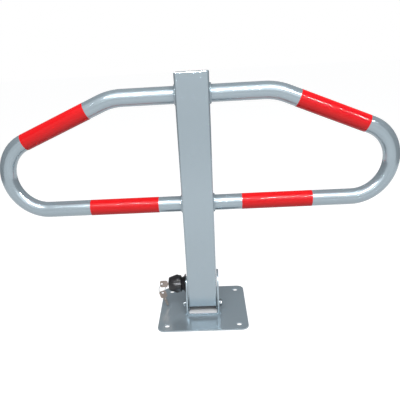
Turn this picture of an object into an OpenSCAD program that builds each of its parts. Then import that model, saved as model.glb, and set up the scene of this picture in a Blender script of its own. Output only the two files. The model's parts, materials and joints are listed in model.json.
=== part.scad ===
// Fold-down parking barrier with two tube wings, hinged on a base plate and locked by a knob.
// X runs along the width, Y to the back, Z up. The origin is the middle of the plate's underside.

/* [Post] */
// Width of the square post
post_w = 80; // [70:1:80]
// Wall of the square post
post_wall = 3; // [2:0.5:4]
// Outer corner radius of the post
post_corner_r = 6; // [5:0.5:8]
// Height of the post's top above the ground
post_top_z = 628; // [612:1:700]
// Thickness of the cap on the post
cap_t = 3; // [2:0.5:5]

/* [Wings] */
// Overall width over both wings
barrier_w = 1000; // [960:5:1200]
// Outside diameter of the wing tubes
tube_d = 40; // [34:1:45]
// Wall of the wing tubes
tube_wall = 2; // [1.5:0.25:3]
// Height of the upper tubes' centreline at the post
upper_z = 579; // [560:1:585]
// Height of the lower tubes' centreline
lower_z = 315; // [290:1:330]
// Centreline radius of the big bend
bend_r = 90; // [75:1:100]
// Centreline radius of the knee
knee_r = 145; // [100:1:160]
// Distance from the middle to the knee's corner
knee_x = 195; // [170:1:205]
// Leg of the fillet welds round the tube ends
wing_weld_leg = 4; // [2:0.5:6]

/* [Reflective tape] */
// Thickness of the tape
tape_t = 0.3; // [0.2:0.05:0.6]
// Distance from the big bend to the upper left band
tape_left_gap = 1; // [0:1:15]
// Distance from the knee's bend to the upper left band
tape_knee_gap = 38.7; // [25:0.1:60]
// Distance from the big bend to the upper right band
tape_right_gap = 11; // [0:1:15]
// Distance from the middle to the lower left band
tape_left_x = 101; // [60:1:130]
// Distance from the middle to the lower right band
tape_right_x = 113; // [60:1:130]

/* [Base plate] */
// Side of the square plate
plate_w = 245; // [238:1:300]
// Thickness of the plate
plate_t = 4; // [3:0.5:8]
// Corner radius of the plate
plate_corner_r = 20; // [10:1:30]
// Diameter of the anchor holes
anchor_hole_d = 14; // [10:0.5:16]
// Distance between the anchor holes
anchor_spacing = 195; // [175:1:200]

/* [Hinge bracket] */
// Thickness of the bracket's sheet
sheet_t = 5; // [4:0.5:6]
// Inner bend radius of the bracket
sheet_bend_r = 2; // [1:0.5:2]
// Depth of the bracket from front to back
bracket_depth = 92; // [86:1:100]
// Height up to which the ears have straight sides
ear_shoulder_z = 24; // [20:1:40]
// Radius of the plain ear's round top
ear_top_r = 38; // [32:1:40]
// Radius of the lock ear's round top, which stays inside the collar
lock_ear_r = 20; // [18:1:24]
// Gap between the post and each ear
ear_gap = 1; // [1:0.25:4]
// Thickness of the white slide pad under the post
pad_t = 0.5; // [0.5:0.25:2]
// Leg of the welds along the bracket
bracket_weld_leg = 5; // [3:0.5:7]

/* [Hinge bolt] */
// Diameter of the bolt
bolt_d = 10; // [8:1:12]
// Height of the bolt's head
bolt_head_h = 6; // [5:0.5:8]
// Height of the lock nut
nut_h = 6; // [5:0.5:10]
// Outside diameter of the flat washers
washer_d = 20; // [20:1:26]
// Thickness of the flat washers
washer_t = 1.5; // [1:0.5:3]
// Outside diameter of the bush in the post
sleeve_d = 18; // [16:1:22]
// Distance from the hinge to the post's front face and foot
pivot_edge = 18.5; // [17:0.5:19]

/* [Lock] */
// Height of the lock's axis above the ground
lock_z = 79; // [76:1:84]
// Distance of the lock's axis behind the post's middle
lock_y = 5; // [5:0.5:10]
// Travel of the lock when it is pushed in
lock_stroke = 6; // [5:0.5:7]
// Diameter of the locking pin
pin_d = 12; // [10:0.5:13]
// Outside diameter of the steel guide
guide_d = 22; // [21:0.5:24]
// Length of the steel guide
guide_len = 22; // [20:0.5:24]
// Diameter of the black collar on the ear
flange_d = 55; // [50:1:60]
// Height of the collar's cone
flange_cone_h = 5.5; // [4:0.5:6.5]
// Largest diameter of the knob
knob_d = 52; // [48:1:54]
// Diameter of the knob's outer end
knob_end_d = 39; // [36:1:42]
// Length of the knob
knob_len = 36; // [34:1:40]
// Number of lobes round the knob
knob_lobes = 6; // [5:1:8]
// Diameter of the lock cylinder
cylinder_d = 20; // [18:0.5:22]
// Diameter of the turning plug in the lock cylinder
plug_d = 12; // [10:0.5:13]
// Wire diameter of the lock spring
spring_wire = 1.2; // [0.8:0.1:1.3]

/* [Keys] */
// Width of the keys' bows
bow_h = 20; // [18:1:24]
// Length of the keys' bows
bow_len = 22; // [20:1:24]
// Diameter of the hole in the bows
bow_hole_d = 7; // [7:0.5:9]
// Thickness of the keys
key_t = 2; // [1.6:0.1:2.4]
// Width of the key blades
blade_h = 7.5; // [6:0.5:8.5]
// Mean diameter of the split ring
ring_d = 24; // [20:1:30]
// Wire diameter of the split ring
ring_wire = 1.4; // [1:0.1:1.6]
// Turn of the split ring out of the keys' plane, in degrees
ring_turn = 45; // [45:1:52]
// Lean of the second key to the post's side, in degrees
spare_lean = 16; // [0:1:18]
// Extra length of the second key's blade
spare_extra = 5; // [0:1:6]

/* [Fits] */
// Gap between pieces that rest on each other but move apart
rest_gap = 0.3; // [0.3:0.05:0.5]
// Clearance round turning and sliding pins, on the diameter
running_fit = 0.1; // [0.06:0.02:0.18]

/* [Hidden] */
$fn = 64;
eps = 1; // how far a cut runs past the face it opens

steel_grey = [0.62, 0.66, 0.69];
zinc = [0.72, 0.73, 0.74];
red = [0.90, 0.08, 0.10];
black = [0.06, 0.06, 0.07];
nickel = [0.62, 0.57, 0.54];
white = [0.95, 0.95, 0.94];

// Heights and faces shared by the pieces
web_z = plate_t + sheet_t;
post_half = post_w / 2;
post_foot_z = web_z + pad_t + rest_gap;
tube_top_z = post_top_z - cap_t;
ear_in = post_half + ear_gap;
ear_out = ear_in + sheet_t;
pivot_y = -post_half + pivot_edge;
pivot_z = post_foot_z + pivot_edge;
bolt_af = 1.6 * bolt_d;
bolt_hole_d = bolt_d + running_fit;
sleeve_hole_d = sleeve_d + running_fit;

// Wing centreline: straight, knee, slope tangent to the big bend, big bend, straight
bend_x = barrier_w / 2 - tube_d / 2 - bend_r;
bend_z = lower_z + bend_r;
knee_dx = bend_x - knee_x;
knee_dz = upper_z - bend_z;
knee_to_bend = norm([knee_dx, knee_dz]);
slope = atan2(knee_dz, knee_dx) - asin(bend_r / knee_to_bend);
knee_tangent = knee_r * tan(slope / 2);
bend_swell = 0.2; // how much wider the bent tube is than the straight tube
lap = 2; // how far a straight runs into a bend
slope_len = sqrt(knee_to_bend ^ 2 - bend_r ^ 2) - knee_tangent;

tape_glue = 0.05; // adhesive between a tube and its tape
tape_len = slope_len - tape_left_gap - tape_knee_gap;

// Lock, measured outwards from the left ear's outer face
guide_wall = 4; // steel left round the pin at the guide's inner end
guide_bore_d = pin_d + 5;
ring_groove_w = 1.2;
ring_lip = 1.4; // guide left outside the ring's groove
collar_t = 2.5;
collar_d = guide_bore_d - 0.4;
guide_out = -sheet_t + guide_len;
ring_u = guide_out - ring_lip - ring_groove_w;
collar_u = ring_u - collar_t;
spring_u = -sheet_t + guide_wall;
spring_turns = 4;
pin_tip_u = -sheet_t - ear_gap + 0.5;
neck_d = knob_d - 12; // the collar's neck, at its foot
neck_taper = 5; // how much narrower the neck's end is
lip_d = neck_d + 5.4; // outer diameter of the knob's lip
lip_bore_d = neck_d + 1.6;
knob_u = flange_cone_h + 1 + lock_stroke;
flange_h = knob_u + 1.5;
knob_end_u = knob_u + knob_len;
hub_u = guide_out + lock_stroke + 1.5;
hub_bore_u = hub_u + 3;
cylinder_u = hub_bore_u + rest_gap;
cylinder_out = knob_end_u + 1;
plug_u = cylinder_u + 1;
plug_out = cylinder_out + 0.6;
keyway_t = key_t + 0.4;
keyway_h = blade_h + 0.5;
bow_u = plug_out + 2.5;
bow_hole_u = bow_u + bow_len - bow_hole_d / 2 - 1.8;
bow_end = bow_hole_u - bow_u; // from the bow's hole to the blade
blade_len = bow_u - plug_u - 1;

// Ring and spare key: each hangs by the top of its own opening on the wire above it
ring_r = ring_d / 2;
wire_r = ring_wire / 2;
ring_room = 1; // room between the wire and the edge of the hole it hangs in
ring_hang = bow_hole_d / 2 - wire_r - ring_room;
ring_top = [-(ear_out + bow_hole_u), lock_y, lock_z - ring_hang];
ring_centre = ring_top - [0, 0, ring_r];
spare_eye = ring_top - [0, 0, ring_d + ring_hang];

// Square of side w with round corners of radius r
module rounded_square(w, r) {
    square([w, w - 2 * r], center = true);
    square([w - 2 * r, w], center = true);
    for (x = [-1, 1], y = [-1, 1])
        translate([x, y] * (w / 2 - r)) circle(r);
}

// Places a profile or piece so that its own Z runs along +X from the point given
module along_x(at) {
    translate(at) rotate([90, 0, 90]) children();
}

// Places a piece on the lock's axis, its own Z running outwards from the left ear by u
module on_lock(u) {
    translate([-(ear_out + u), lock_y, lock_z]) rotate([0, -90, 0]) children();
}

// Lines up a piece with the hinge, its own Z along +X from x
module on_hinge(x) {
    along_x([x, pivot_y, pivot_z]) children();
}

// Point where the tangent from p touches the circle of radius r round c, on the side given
function tangent_point(p, c, r, side) =
    let (v = c - p, d = norm(v), a = atan2(v[1], v[0]) + side * asin(r / d), l = sqrt(d ^ 2 - r ^ 2))
    p + l * [cos(a), sin(a)];

module ring_shape(outer_d, inner_d, h) {
    difference() {
        cylinder(h = h, d = outer_d);
        translate([0, 0, -eps]) cylinder(h = h + 2 * eps, d = inner_d);
    }
}

// Base plate and bracket
module base_plate() {
    color(steel_grey) difference() {
        linear_extrude(plate_t) rounded_square(plate_w, plate_corner_r);
        for (x = [-1, 1], y = [-1, 1])
            translate([x * anchor_spacing / 2, y * anchor_spacing / 2, -eps])
                cylinder(h = plate_t + 2 * eps, d = anchor_hole_d);
    }
}

// Cross-section of the bracket, seen from the front: a web with two ears bent up
module channel_section() {
    top = lock_z + ear_top_r + eps;
    outer_r = sheet_bend_r + sheet_t;
    difference() {
        union() {
            translate([-ear_out, plate_t + outer_r]) square([2 * ear_out, top - plate_t - outer_r]);
            translate([-ear_out + outer_r, plate_t]) square([2 * (ear_out - outer_r), outer_r + eps]);
            for (x = [-1, 1])
                translate([x * (ear_out - outer_r), plate_t + outer_r]) circle(outer_r);
        }
        translate([-ear_in, web_z + sheet_bend_r]) square([2 * ear_in, top]);
        translate([-ear_in + sheet_bend_r, web_z]) square([2 * (ear_in - sheet_bend_r), top]);
        for (x = [-1, 1])
            translate([x * (ear_in - sheet_bend_r), web_z + sheet_bend_r]) circle(sheet_bend_r);
    }
}

// Side outline of the ears: upright at the foot, then straight to the round top
module ear_outline(top_r) {
    half = bracket_depth / 2;
    top_c = [lock_y, lock_z];
    front = tangent_point([-half, ear_shoulder_z], top_c, top_r, 1);
    back = tangent_point([half, ear_shoulder_z], top_c, top_r, -1);
    polygon([[-half, 0], [half, 0], [half, ear_shoulder_z], back, top_c, front, [-half, ear_shoulder_z]]);
    translate(top_c) circle(top_r);
}

module hinge_bracket() {
    color(steel_grey) difference() {
        intersection() {
            translate([0, bracket_depth / 2 + eps, 0]) rotate([90, 0, 0])
                linear_extrude(bracket_depth + 2 * eps) channel_section();
            union() {
                along_x([-ear_out - eps, 0, 0]) linear_extrude(ear_out + 2 * eps) ear_outline(lock_ear_r);
                along_x([0, 0, 0]) linear_extrude(ear_out + eps) ear_outline(ear_top_r);
            }
        }
        on_hinge(-ear_out - eps) cylinder(h = 2 * (ear_out + eps), d = bolt_hole_d);
        on_lock(-sheet_t - eps) cylinder(h = sheet_t + 2 * eps, d = guide_d + running_fit);
    }
}

module bracket_welds() {
    outer_r = sheet_bend_r + sheet_t;
    weld_x = ear_out - outer_r + 3; // the bead fills the bend's root from here outwards
    weld_len = bracket_depth - 8;
    color(steel_grey) for (side = [0, 1])
        mirror([side, 0, 0]) translate([0, weld_len / 2, 0]) rotate([90, 0, 0])
            linear_extrude(weld_len) difference() {
                polygon([[weld_x, plate_t], [ear_out + bracket_weld_leg, plate_t],
                         [ear_out, plate_t + outer_r], [weld_x, plate_t + outer_r]]);
                translate([ear_out - outer_r, plate_t + outer_r]) circle(outer_r);
            }
}

// Sheet on the web that the post's foot would slide on
module slide_pad() {
    edge = 0.5; // strip of the web left bare at the front and the back
    corner_r = 2;
    pad_w = 2 * (ear_in - sheet_bend_r) - 2 * corner_r;
    pad_depth = bracket_depth - 2 * edge - 2 * corner_r;
    color(white) translate([0, 0, web_z]) linear_extrude(pad_t) {
        square([pad_w + 2 * corner_r, pad_depth], center = true);
        square([pad_w, pad_depth + 2 * corner_r], center = true);
        for (x = [-1, 1], y = [-1, 1])
            translate([x * pad_w / 2, y * pad_depth / 2]) circle(corner_r);
    }
}

// Post
module post_section() {
    difference() {
        rounded_square(post_w, post_corner_r);
        rounded_square(post_w - 2 * post_wall, post_corner_r - post_wall);
    }
}

// Space cleared at the post's foot so that it can roll over on the web
module foot_clearance() {
    difference() {
        translate([-post_half - eps, -post_half - eps, post_foot_z - eps])
            cube([post_w + 2 * eps, pivot_edge + eps, pivot_edge + eps]);
        on_hinge(-post_half - 2 * eps) cylinder(h = post_w + 4 * eps, r = pivot_edge);
    }
    translate([-post_half + post_wall, -post_half - eps, post_foot_z - eps])
        cube([post_w - 2 * post_wall, post_wall + 3 + eps, pivot_edge + eps]);
}

module post() {
    color(steel_grey) difference() {
        translate([0, 0, post_foot_z]) linear_extrude(tube_top_z - post_foot_z) post_section();
        foot_clearance();
        on_hinge(-post_half - eps) cylinder(h = post_w + 2 * eps, d = sleeve_hole_d);
        translate([-post_half - eps, lock_y, lock_z]) rotate([0, 90, 0])
            cylinder(h = post_wall + 2 * eps, d = pin_d + 1);
    }
}

module post_cap() {
    edge = 1; // chamfer of the cap's upper edge
    plug_w = post_w - 2 * post_wall - 0.2;
    color(steel_grey) union() {
        translate([0, 0, tube_top_z]) linear_extrude(cap_t - edge) rounded_square(post_w, post_corner_r);
        translate([0, 0, tube_top_z + cap_t - edge])
            linear_extrude(edge) rounded_square(post_w - 2 * edge, post_corner_r - edge);
        translate([0, 0, tube_top_z - 8])
            linear_extrude(8 + cap_t / 2) rounded_square(plug_w, post_corner_r - post_wall);
    }
}

// Hinge
module pivot_sleeve() {
    color(zinc) on_hinge(-post_half) ring_shape(sleeve_d, bolt_hole_d, post_w);
}

module hex_shape(h) {
    across_corners = bolt_af / cos(30);
    intersection() {
        cylinder(h = h, d = across_corners, $fn = 6);
        translate([0, 0, h - bolt_af]) cylinder(h = bolt_af, r1 = bolt_af * 1.5, r2 = bolt_af / 2 - 0.2);
    }
}

module hinge_bolt() {
    head_x = ear_out + washer_t;
    shank_len = 2 * head_x + nut_h + 1.5;
    color(zinc) union() {
        on_hinge(head_x) hex_shape(bolt_head_h);
        on_hinge(head_x - shank_len) cylinder(h = shank_len + 1, d = bolt_d);
    }
}

module hinge_nut() {
    hex_h = nut_h * 0.7; // the nut's hexagon, below that collar
    collar = bolt_af - 2; // round top that holds the locking insert
    color(zinc) translate([-ear_out - washer_t, pivot_y, pivot_z]) rotate([0, -90, 0]) difference() {
        union() {
            hex_shape(hex_h);
            cylinder(h = nut_h, d = collar);
        }
        translate([0, 0, -eps]) cylinder(h = nut_h + 2 * eps, d = bolt_hole_d);
    }
}

module hinge_washers() {
    color(zinc) for (x = [-ear_out - washer_t, ear_out])
        on_hinge(x) ring_shape(washer_d, bolt_hole_d, washer_t);
}

module spacer_washers() {
    color(black) for (x = [-ear_in, post_half + rest_gap])
        on_hinge(x) ring_shape(washer_d, bolt_hole_d, ear_gap - rest_gap);
}

// Wings
// One rod along the wing's centreline in the right-hand half, which makes the tube's outside and its bore.
// The bends are a hair wider than the straights, as bent tube is, and each straight runs a little into them.
module wing_rod(d) {
    bend_d = d + bend_swell;
    along_x([post_half, 0, upper_z]) cylinder(h = knee_x - knee_tangent - post_half + lap, d = d);
    bend([knee_x - knee_tangent, upper_z - knee_r], knee_r, 90 - slope, 90) circle(d = bend_d);
    on_slope(-lap) cylinder(h = slope_len + 2 * lap, d = d);
    bend([bend_x, bend_z], bend_r, -90, 90 - slope) circle(d = bend_d);
    along_x([post_half, 0, lower_z]) cylinder(h = bend_x - post_half + lap, d = d);
}

// Puts a piece's own Z along the slope, starting at the knee's end
module on_slope(from) {
    translate([knee_x + knee_tangent * cos(slope), 0, upper_z - knee_tangent * sin(slope)])
        rotate([0, 90 + slope, 0]) translate([0, 0, from]) children();
}

// Bend in the wing's plane round a centre, from one angle up to the other
module bend(centre, r, from, to) {
    translate([centre[0], 0, centre[1]]) rotate([90, 0, 0]) rotate([0, 0, from])
        rotate_extrude(angle = to - from, $fn = 128) translate([r, 0]) children();
}

module wing() {
    color(steel_grey) difference() {
        wing_rod(tube_d);
        wing_rod(tube_d - 2 * tube_wall);
    }
}

module right_wing() {
    wing();
}

module left_wing() {
    mirror([1, 0, 0]) wing();
}

module wing_welds() {
    bite = tube_d / 2;
    color(steel_grey) for (side = [0, 1], z = [upper_z, lower_z])
        mirror([side, 0, 0]) translate([post_half, 0, z]) rotate([0, 90, 0]) rotate_extrude()
            polygon([[bite, 0], [bite + wing_weld_leg, 0], [bite + wing_weld_leg * 0.35, wing_weld_leg * 0.4],
                     [bite, wing_weld_leg]]);
}

// Tape
module tape_band(length) {
    inner_d = tube_d + 2 * tape_glue;
    ring_shape(inner_d + 2 * tape_t, inner_d, length);
}

module upper_tape(gap) {
    color(red) on_slope(slope_len - gap - tape_len) tape_band(tape_len);
}

module lower_tape(x) {
    color(red) translate([x, 0, lower_z]) rotate([0, 90, 0]) tape_band(tape_len);
}

module upper_left_tape() {
    mirror([1, 0, 0]) upper_tape(tape_left_gap);
}

module upper_right_tape() {
    upper_tape(tape_right_gap);
}

module lower_left_tape() {
    mirror([1, 0, 0]) lower_tape(tape_left_x);
}

module lower_right_tape() {
    lower_tape(tape_right_x);
}

// Lock
module lock_guide() {
    color(zinc) on_lock(-sheet_t) difference() {
        cylinder(h = guide_len, d = guide_d);
        translate([0, 0, -eps]) cylinder(h = guide_len, d = pin_d + running_fit);
        translate([0, 0, guide_wall]) cylinder(h = guide_len, d = guide_bore_d);
        translate([0, 0, guide_len - ring_lip - ring_groove_w])
            cylinder(h = ring_groove_w, d = guide_bore_d + 1.6);
    }
}

module lock_flange() {
    rim = 1.5; // straight edge of the collar before its cone
    color(black) on_lock(0) rotate_extrude() polygon([
        [guide_d / 2 + 0.05, 0], [flange_d / 2, 0], [flange_d / 2, rim], [neck_d / 2 + 1, flange_cone_h],
        [neck_d / 2, flange_cone_h + 1], [(neck_d - neck_taper) / 2, flange_h - 1],
        [(neck_d - neck_taper) / 2 - 1, flange_h], [guide_d / 2 + 0.05, flange_h]]);
}

module retaining_ring() {
    opening = 4; // gap between the snap ring's ends
    color(zinc) on_lock(ring_u + 0.1) difference() {
        ring_shape(guide_bore_d + 1.4, pin_d + 1.5, ring_groove_w - 0.2);
        translate([0, -opening / 2, -eps]) cube([guide_d, opening, ring_groove_w + 2 * eps]);
    }
}

module lock_pin() {
    tip = 1.5; // lead-in chamfer
    color(zinc) on_lock(0) rotate_extrude() polygon([
        [0, pin_tip_u], [pin_d / 2 - tip, pin_tip_u], [pin_d / 2, pin_tip_u + tip], [pin_d / 2, collar_u],
        [collar_d / 2, collar_u], [collar_d / 2, ring_u], [pin_d / 2, ring_u], [pin_d / 2, hub_bore_u],
        [0, hub_bore_u]]);
}

// Outline that gives the knob its finger lobes
module lobed_outline() {
    valley_r = knob_d * 0.16;
    difference() {
        circle(d = knob_d);
        for (i = [0 : knob_lobes - 1])
            rotate(360 / knob_lobes * (i + 0.5)) translate([knob_d / 2 + valley_r * 0.62, 0]) circle(valley_r);
    }
}

module knob_profile() {
    end_round = 3;
    shoulder = knob_u + 10;
    waist_end = knob_end_u - end_round;
    polygon([[0, knob_u], [lip_d / 2, knob_u], [lip_d / 2 + 1.2, knob_u + 2], [knob_d / 2 - 1, shoulder - 1.5],
             [knob_d / 2, shoulder], [knob_d / 2, shoulder + 5], [knob_d / 2 - 1.2, shoulder + 8],
             [knob_end_d / 2, waist_end], [knob_end_d / 2 - 0.9, waist_end + 2.1],
             [knob_end_d / 2 - end_round, knob_end_u], [0, knob_end_u]]);
}

module lock_knob() {
    color(black) difference() {
        intersection() {
            on_lock(0) rotate_extrude() knob_profile();
            on_lock(knob_u - eps) linear_extrude(knob_len + 2 * eps) lobed_outline();
        }
        on_lock(knob_u - eps) cylinder(h = hub_u - knob_u + eps, d = lip_bore_d);
        on_lock(hub_u - eps) cylinder(h = hub_bore_u - hub_u + eps, d = pin_d + running_fit);
        on_lock(hub_bore_u) cylinder(h = knob_end_u - hub_bore_u + eps, d = cylinder_d + running_fit);
    }
}

// Coil of round wire between the guide's wall and the pin's collar
module lock_spring() {
    coil_r = (guide_bore_d + pin_d) / 4;
    span = collar_u - spring_u - spring_wire - 0.2;
    steps = 16;
    sides = 6;
    rings = spring_turns * steps;
    points = [for (i = [0 : rings], k = [0 : sides - 1])
        let (a = 360 * i / steps, b = 360 * k / sides, r = coil_r + spring_wire / 2 * cos(b))
        [r * cos(a), r * sin(a), span * i / rings + spring_wire / 2 * (1 + sin(b))]];
    walls = [for (i = [0 : rings - 1], k = [0 : sides - 1])
        let (n = (k + 1) % sides)
        [i * sides + k, i * sides + n, (i + 1) * sides + n, (i + 1) * sides + k]];
    first = [for (k = [sides - 1 : -1 : 0]) k];
    last = [for (k = [0 : sides - 1]) rings * sides + k];
    color(zinc) on_lock(spring_u + 0.1) polyhedron(points, concat([first], walls, [last]));
}

module lock_cylinder() {
    color(zinc) difference() {
        on_lock(cylinder_u) cylinder(h = cylinder_out - cylinder_u, d = cylinder_d);
        on_lock(plug_u) cylinder(h = cylinder_out - plug_u + eps, d = plug_d + running_fit);
    }
}

module cylinder_plug() {
    color(nickel) difference() {
        on_lock(plug_u + rest_gap) cylinder(h = plug_out - plug_u - rest_gap, d = plug_d);
        on_lock(plug_u) translate([-keyway_h / 2, -keyway_t / 2, 0])
            cube([keyway_h, keyway_t, plug_out - plug_u + eps]);
    }
}

// Flat key drawn with its bow's hole at the origin and its blade along +X
module key_outline(blade) {
    bow_r = 5;
    left = bow_end - bow_len;
    tip = bow_end + blade;
    difference() {
        union() {
            translate([left, -bow_h / 2 + bow_r]) square([bow_len, bow_h - 2 * bow_r]);
            translate([left + bow_r, -bow_h / 2]) square([bow_len - 2 * bow_r, bow_h]);
            for (x = [left + bow_r, bow_end - bow_r], y = [-1, 1])
                translate([x, y * (bow_h / 2 - bow_r)]) circle(bow_r);
            polygon([[0, -blade_h / 2], [tip - 4, -blade_h / 2], [tip, -0.5], [tip, 1],
                     [tip - 2.5, blade_h / 2], [0, blade_h / 2]]);
        }
        circle(d = bow_hole_d);
    }
}

// Teeth cut into the lower edge of a blade, and the groove milled along its side
module key_cuts(blade) {
    depths = [1.2, 2.2, 0.8, 1.8, 1.4]; // bitting of the blade
    pitch = 3.6;
    first = bow_end + blade - 17.8;
    for (i = [0 : len(depths) - 1])
        translate([first + i * pitch, -blade_h / 2 - eps, -key_t])
            linear_extrude(2 * key_t)
                polygon([[-1.6 - eps, 0], [1.6 + eps, 0], [0.5, depths[i] + eps], [-0.5, depths[i] + eps]]);
    translate([bow_end + 1.5, 0.8, key_t / 2 - 0.5]) cube([blade, 1.2, 1]);
}

module flat_key(blade) {
    difference() {
        translate([0, 0, -key_t / 2]) linear_extrude(key_t) key_outline(blade);
        key_cuts(blade);
    }
}

module key() {
    color(nickel) translate([-(ear_out + bow_hole_u), lock_y, lock_z]) rotate([90, 0, 0]) flat_key(blade_len);
}

module key_ring() {
    color(zinc) translate(ring_centre) rotate([90, 0, ring_turn]) rotate_extrude()
        translate([ring_r, 0]) circle(d = ring_wire);
}

module spare_key() {
    color(zinc) translate(spare_eye) rotate([90, 90 - spare_lean, 0]) flat_key(blade_len + spare_extra);
}

base_plate();
hinge_bracket();
bracket_welds();
slide_pad();
hinge_bolt();
hinge_nut();
hinge_washers();
spacer_washers();
lock_guide();
lock_flange();
retaining_ring();
post();
post_cap();
pivot_sleeve();
left_wing();
right_wing();
wing_welds();
upper_left_tape();
upper_right_tape();
lower_left_tape();
lower_right_tape();
lock_knob();
lock_pin();
lock_spring();
lock_cylinder();
cylinder_plug();
key();
key_ring();
spare_key();
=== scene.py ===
"""Fold-down parking barrier: two bent tube wings on a square post, a hinged foot and a key lock.

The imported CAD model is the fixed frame. Lengths here are in metres, in that same frame: X along the
width, Y to the back, Z up, with the origin under the middle of the base plate.
"""

import json
import math

import bmesh
import bpy
from bpy.props import FloatProperty, FloatVectorProperty, IntProperty, PointerProperty
from mathutils import Matrix, Vector


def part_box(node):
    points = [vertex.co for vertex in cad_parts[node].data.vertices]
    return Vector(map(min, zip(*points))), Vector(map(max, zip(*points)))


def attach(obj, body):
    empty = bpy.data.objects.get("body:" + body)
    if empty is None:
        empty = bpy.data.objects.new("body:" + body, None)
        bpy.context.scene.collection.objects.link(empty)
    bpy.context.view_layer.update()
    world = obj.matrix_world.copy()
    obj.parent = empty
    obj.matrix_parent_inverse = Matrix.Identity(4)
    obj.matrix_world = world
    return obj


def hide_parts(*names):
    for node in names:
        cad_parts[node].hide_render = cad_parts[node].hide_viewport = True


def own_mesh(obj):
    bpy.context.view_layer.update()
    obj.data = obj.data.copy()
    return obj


bl_info = {
    "name": "Parking barrier",
    "version": (1, 0, 0),
    "blender": (4, 5, 0),
    "location": "3D View > Sidebar > Barrier",
    "description": "Builds a fold-down parking barrier round its packed CAD frame",
    "category": "Add Mesh",
}

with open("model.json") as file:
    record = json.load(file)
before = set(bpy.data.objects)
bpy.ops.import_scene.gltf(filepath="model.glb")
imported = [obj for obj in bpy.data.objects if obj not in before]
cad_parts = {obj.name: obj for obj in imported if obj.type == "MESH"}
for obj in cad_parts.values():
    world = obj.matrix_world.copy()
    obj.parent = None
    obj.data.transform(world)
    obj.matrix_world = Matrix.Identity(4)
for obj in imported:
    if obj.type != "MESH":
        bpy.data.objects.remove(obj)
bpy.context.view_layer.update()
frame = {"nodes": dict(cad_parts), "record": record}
MM = 0.001
UP = Vector((0, 0, 1))

# Distances in metres under which points count as one
MERGE_OWN = 1e-6
MERGE_CAD = 2e-6
# Angles in degrees: under the first faces count as flat, over the second an edge is rounded
FLAT_DEGREES = 0.5
BEVEL_DEGREES = 30

# Places of a Mix node's sockets for colours, which share their names with those for numbers
FACTOR, FIRST_COLOUR, SECOND_COLOUR, MIXED_COLOUR = 0, 6, 7, 2


# Nodes


class Value:
    """An output socket that takes part in Python expressions, each of which adds its Math node."""

    def __init__(self, tree, socket):
        self.tree = tree
        self.socket = socket

    def maths(self, operation, first, second=0.0):
        node = self.tree.add("ShaderNodeMath", {"operation": operation}, {0: first, 1: second})
        return node[0]

    def __add__(self, other):
        return self.maths("ADD", self, other)

    __radd__ = __add__

    def __sub__(self, other):
        return self.maths("SUBTRACT", self, other)

    def __rsub__(self, other):
        return self.maths("SUBTRACT", other, self)

    def __mul__(self, other):
        return self.maths("MULTIPLY", self, other)

    def __truediv__(self, other):
        return self.maths("DIVIDE", self, other)

    def above(self, edge):
        return self.maths("GREATER_THAN", self, edge)

    def sine(self):
        return self.maths("SINE", self)

    def size(self):
        return self.maths("ABSOLUTE", self)

    def between(self, low, high):
        """0 below low, 1 above high, smooth between them."""
        settings = {"interpolation_type": "SMOOTHSTEP"}
        inputs = {"Value": self, "From Min": low, "From Max": high}
        return self.tree.add("ShaderNodeMapRange", settings, inputs)["Result"]


class Made:
    """A node whose outputs are read as values, by name or number."""

    def __init__(self, tree, node):
        self.tree = tree
        self.node = node

    def __getitem__(self, key):
        return Value(self.tree, self.node.outputs[key])


class Tree:
    """Adds nodes to a node tree: the settings first, then the values or links of the sockets."""

    def __init__(self, tree):
        self.tree = tree

    def add(self, kind, settings=None, inputs=None):
        node = self.tree.nodes.new(kind)
        for name, value in (settings or {}).items():
            if name == "stops":
                set_ramp(node.color_ramp, value)
            else:
                setattr(node, name, value)
        for key, value in (inputs or {}).items():
            if isinstance(value, Value):
                self.tree.links.new(value.socket, node.inputs[key])
            else:
                node.inputs[key].default_value = value
        return Made(self, node)

    def mixed(self, factor, first, second):
        """A blend of two colours by a factor."""
        inputs = {FACTOR: factor, FIRST_COLOUR: first, SECOND_COLOUR: second}
        return self.add("ShaderNodeMix", {"data_type": "RGBA"}, inputs)[MIXED_COLOUR]


def set_ramp(ramp, stops):
    while len(ramp.elements) < len(stops):
        ramp.elements.new(0.5)
    for element, (place, colour) in zip(ramp.elements, stops):
        element.position = place
        element.color = colour


class Finish(Tree):
    """A material with one Principled shader, read on Object coordinates."""

    def __init__(self, name):
        self.material = bpy.data.materials.new(name)
        self.material.use_nodes = True
        super().__init__(self.material.node_tree)
        self.tree.nodes.clear()
        self.place = self.add("ShaderNodeTexCoord")["Object"]

    def noise(self, scale, detail=2.0, roughness=0.5, at=None):
        inputs = {"Vector": at or self.place, "Scale": scale, "Detail": detail,
                  "Roughness": roughness}
        return self.add("ShaderNodeTexNoise", None, inputs)["Fac"]

    def stretched(self, scale):
        """Object coordinates scaled unevenly, for a pattern with a direction."""
        return self.add("ShaderNodeMapping", None, {"Vector": self.place, "Scale": scale})["Vector"]

    def bump(self, height, distance, strength):
        inputs = {"Height": height, "Distance": distance, "Strength": strength}
        return self.add("ShaderNodeBump", None, inputs)["Normal"]

    def finish(self, **inputs):
        names = {key.replace("_", " "): value for key, value in inputs.items()}
        shader = self.add("ShaderNodeBsdfPrincipled", None, names)
        self.add("ShaderNodeOutputMaterial", None, {"Surface": shader["BSDF"]})
        return self.material


def solid(colour):
    """A colour with full alpha."""
    return (*colour, 1.0)


# Sizes and colours


def length(name, description, default):
    return FloatProperty(
        name=name, description=description, default=default, unit="LENGTH", precision=4
    )


def number(name, description, default, **more):
    return FloatProperty(name=name, description=description, default=default, **more)


def colour(name, description, default):
    return FloatVectorProperty(
        name=name, description=description, default=default, subtype="COLOR", min=0.0, max=1.0
    )


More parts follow.
